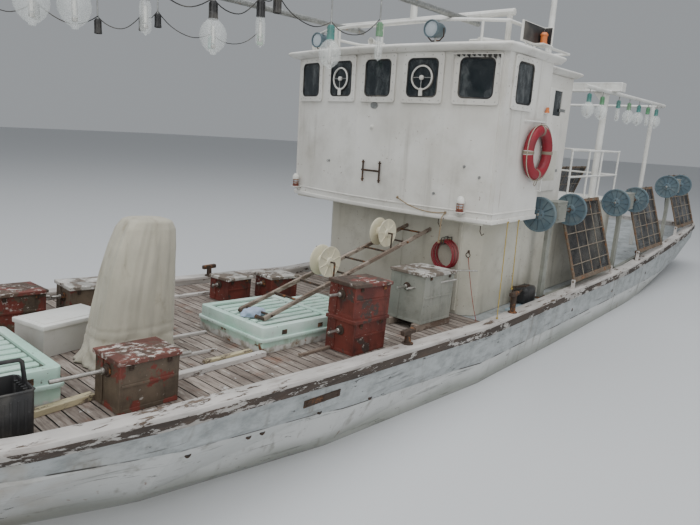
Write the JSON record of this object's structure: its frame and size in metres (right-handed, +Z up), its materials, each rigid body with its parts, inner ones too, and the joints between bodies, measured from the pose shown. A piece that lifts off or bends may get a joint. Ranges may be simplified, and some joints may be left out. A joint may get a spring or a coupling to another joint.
{
  "type": "squid jigging boat",
  "caption": "Coastal squid-jigging fishing boat: long foredeck with hatches and stowed gear, raised wheelhouse, lamp booms, rail racks, gantries, propeller and rudder.",
  "frame": {"origin": "on the centreline at the waterline, about amidships", "axes": "+X towards the bow, +Y to port, +Z up"},
  "size_m": [20.6784, 4, 8.25],
  "materials": {
    "hull_white": "weathered white gel coat, chalky",
    "bridge_white": "white gloss paint, rust streaks and grime",
    "house_cream": "cream paint, dirty",
    "cap_timber": "pale painted timber, worn",
    "rub_timber": "dark bare timber with peeling paint",
    "deck_timber": "weathered grey-brown boards",
    "oxide_red": "red oxide paint, faded",
    "brown_paint": "rusty brown paint",
    "mint_paint": "mint green paint with rust patches",
    "canvas": "cream canvas",
    "box_grey": "grey paint, flaking",
    "window_glass": "tinted glass",
    "galvanised": "dull galvanised steel",
    "rack_rust": "rusty brown",
    "disc_blue": "blue-grey paint",
    "black_plastic": "black moulded plastic",
    "fish_box_white": "white moulded plastic",
    "buoy_red": "red with white bands",
    "bronze": "cast bronze",
    "white_pipe": "white painted pipe",
    "bottom_red": "red antifouling paint"
  },
  "bodies": {
    "boat": {"aft_gantry": "white_pipe", "aft_hatch_lid": "mint_paint", "black_tub": "black_plastic", "boat_deck": "bridge_white", "boat_deck_rail": "white_pipe", "canvas_cover": "canvas", "cap_rail": "cap_timber", "chart_room_walls": "bridge_white", "deck_boards": "deck_timber", "deckhouse_walls": "house_cream", "fish_box": "fish_box_white", "fore_hatch_coaming": "mint_paint", "foremast": "white_pipe", "funnel": "house_cream", "helm_console": "house_cream", "hull": "hull_white", "jig_machines_port": "galvanised", "jig_machines_starboard": "galvanised", "lamp_boom_port": "galvanised", "lamp_boom_starboard": "galvanised", "loose_chute": "brown_paint", "machine_box_grey": "box_grey", "machine_box_port_fore": "brown_paint", "machine_box_starboard_a": "brown_paint", "machine_box_starboard_b": "brown_paint", "machine_box_starboard_c": "oxide_red", "machine_box_starboard_d": "oxide_red", "machine_box_stowed_high": "oxide_red", "machine_box_stowed_low": "oxide_red", "mid_hatch_coaming": "mint_paint", "mid_hatch_lid": "mint_paint", "mooring_bitts": "rack_rust", "ring_buoy": "buoy_red", "roof_gantry": "white_pipe", "roof_rail": "white_pipe", "rub_band": "rub_timber", "wheelhouse_aft_wall": "bridge_white", "wheelhouse_front": "bridge_white", "wheelhouse_glass": "window_glass", "wheelhouse_port_side": "bridge_white", "wheelhouse_roof": "bridge_white", "wheelhouse_starboard_side": "bridge_white"},
    "propeller_body": {"propeller": "bronze"},
    "rudder_body": {"rudder": "bottom_red"},
    "deckhouse_door_body": {"deckhouse_door": "house_cream"},
    "chart_room_door_body": {"chart_room_door": "bridge_white"},
    "radar_body": {"radar_scanner": "white_pipe"},
    "fore_lid_body": {"fore_hatch_lid": "mint_paint"},
    "port_rack_1_body": {"port_rack_1": "rack_rust"},
    "port_rack_2_body": {"port_rack_2": "rack_rust"},
    "port_rack_3_body": {"port_rack_3": "rack_rust"},
    "port_drums_1_body": {"jig_drums_port_1": "disc_blue"},
    "port_drums_2_body": {"jig_drums_port_2": "disc_blue"},
    "port_drums_3_body": {"jig_drums_port_3": "disc_blue"},
    "starboard_rack_1_body": {"starboard_rack_1": "rack_rust"},
    "starboard_rack_2_body": {"starboard_rack_2": "rack_rust"},
    "starboard_rack_3_body": {"starboard_rack_3": "rack_rust"},
    "starboard_drums_1_body": {"jig_drums_starboard_1": "disc_blue"},
    "starboard_drums_2_body": {"jig_drums_starboard_2": "disc_blue"},
    "starboard_drums_3_body": {"jig_drums_starboard_3": "disc_blue"}
  },
  "joints": [
    {"name": "propeller_spin", "type": "hinge", "parent": "boat", "child": "propeller_body", "pos_m": [-8.48, 0, -0.87], "axis": [1, 0, 0], "continuous": true},
    {"name": "rudder_steer", "type": "hinge", "parent": "boat", "child": "rudder_body", "pos_m": [-9.06, 0, -0.9], "axis": [0, 0, 1], "range_deg": [-35, 35]},
    {"name": "deckhouse_door_swing", "type": "hinge", "parent": "boat", "child": "deckhouse_door_body", "pos_m": [-5.4203, 0.864, 1.4], "axis": [0, 0, 1], "range_deg": [-110, 0]},
    {"name": "chart_room_door_swing", "type": "hinge", "parent": "boat", "child": "chart_room_door_body", "pos_m": [-2.639, 1.3383, 3.1], "axis": [0, 0, 1], "range_deg": [0, 100]},
    {"name": "radar_spin", "type": "hinge", "parent": "boat", "child": "radar_body", "pos_m": [-0.15, 0, 5.35], "axis": [0, 0, 1], "continuous": true},
    {"name": "fore_hatch_lid_swing", "type": "hinge", "parent": "boat", "child": "fore_lid_body", "pos_m": [5.326, 0.56, 1.2219], "axis": [0, 1, 0], "range_deg": [-100, 0]},
    {"name": "port_rack_1_fold", "type": "hinge", "parent": "boat", "child": "port_rack_1_body", "pos_m": [-3.5, 1.905, 0.9383], "axis": [1, 0, 0], "range_deg": [-100, 0]},
    {"name": "port_rack_2_fold", "type": "hinge", "parent": "boat", "child": "port_rack_2_body", "pos_m": [-7, 1.9, 1.0283], "axis": [1, 0, 0], "range_deg": [-100, 0]},
    {"name": "port_rack_3_fold", "type": "hinge", "parent": "boat", "child": "port_rack_3_body", "pos_m": [-10.5, 1.772, 1.2383], "axis": [1, 0, 0], "range_deg": [-100, 0]},
    {"name": "port_drums_1_spin", "type": "hinge", "parent": "boat", "child": "port_drums_1_body", "pos_m": [-1.85, 1.74, 2.13], "axis": [1, 0, 0], "continuous": true},
    {"name": "port_drums_2_spin", "type": "hinge", "parent": "boat", "child": "port_drums_2_body", "pos_m": [-5.25, 1.74, 2.13], "axis": [1, 0, 0], "continuous": true},
    {"name": "port_drums_3_spin", "type": "hinge", "parent": "boat", "child": "port_drums_3_body", "pos_m": [-8.75, 1.74, 2.325], "axis": [1, 0, 0], "continuous": true},
    {"name": "starboard_rack_1_fold", "type": "hinge", "parent": "boat", "child": "starboard_rack_1_body", "pos_m": [-3.5, -1.905, 0.9383], "axis": [1, 0, 0], "range_deg": [0, 100]},
    {"name": "starboard_rack_2_fold", "type": "hinge", "parent": "boat", "child": "starboard_rack_2_body", "pos_m": [-7, -1.9, 1.0283], "axis": [1, 0, 0], "range_deg": [0, 100]},
    {"name": "starboard_rack_3_fold", "type": "hinge", "parent": "boat", "child": "starboard_rack_3_body", "pos_m": [-10.5, -1.772, 1.2383], "axis": [1, 0, 0], "range_deg": [0, 100]},
    {"name": "starboard_drums_1_spin", "type": "hinge", "parent": "boat", "child": "starboard_drums_1_body", "pos_m": [-1.85, -1.74, 2.13], "axis": [1, 0, 0], "continuous": true},
    {"name": "starboard_drums_2_spin", "type": "hinge", "parent": "boat", "child": "starboard_drums_2_body", "pos_m": [-5.25, -1.74, 2.13], "axis": [1, 0, 0], "continuous": true},
    {"name": "starboard_drums_3_spin", "type": "hinge", "parent": "boat", "child": "starboard_drums_3_body", "pos_m": [-8.75, -1.74, 2.325], "axis": [1, 0, 0], "continuous": true}
  ]
}
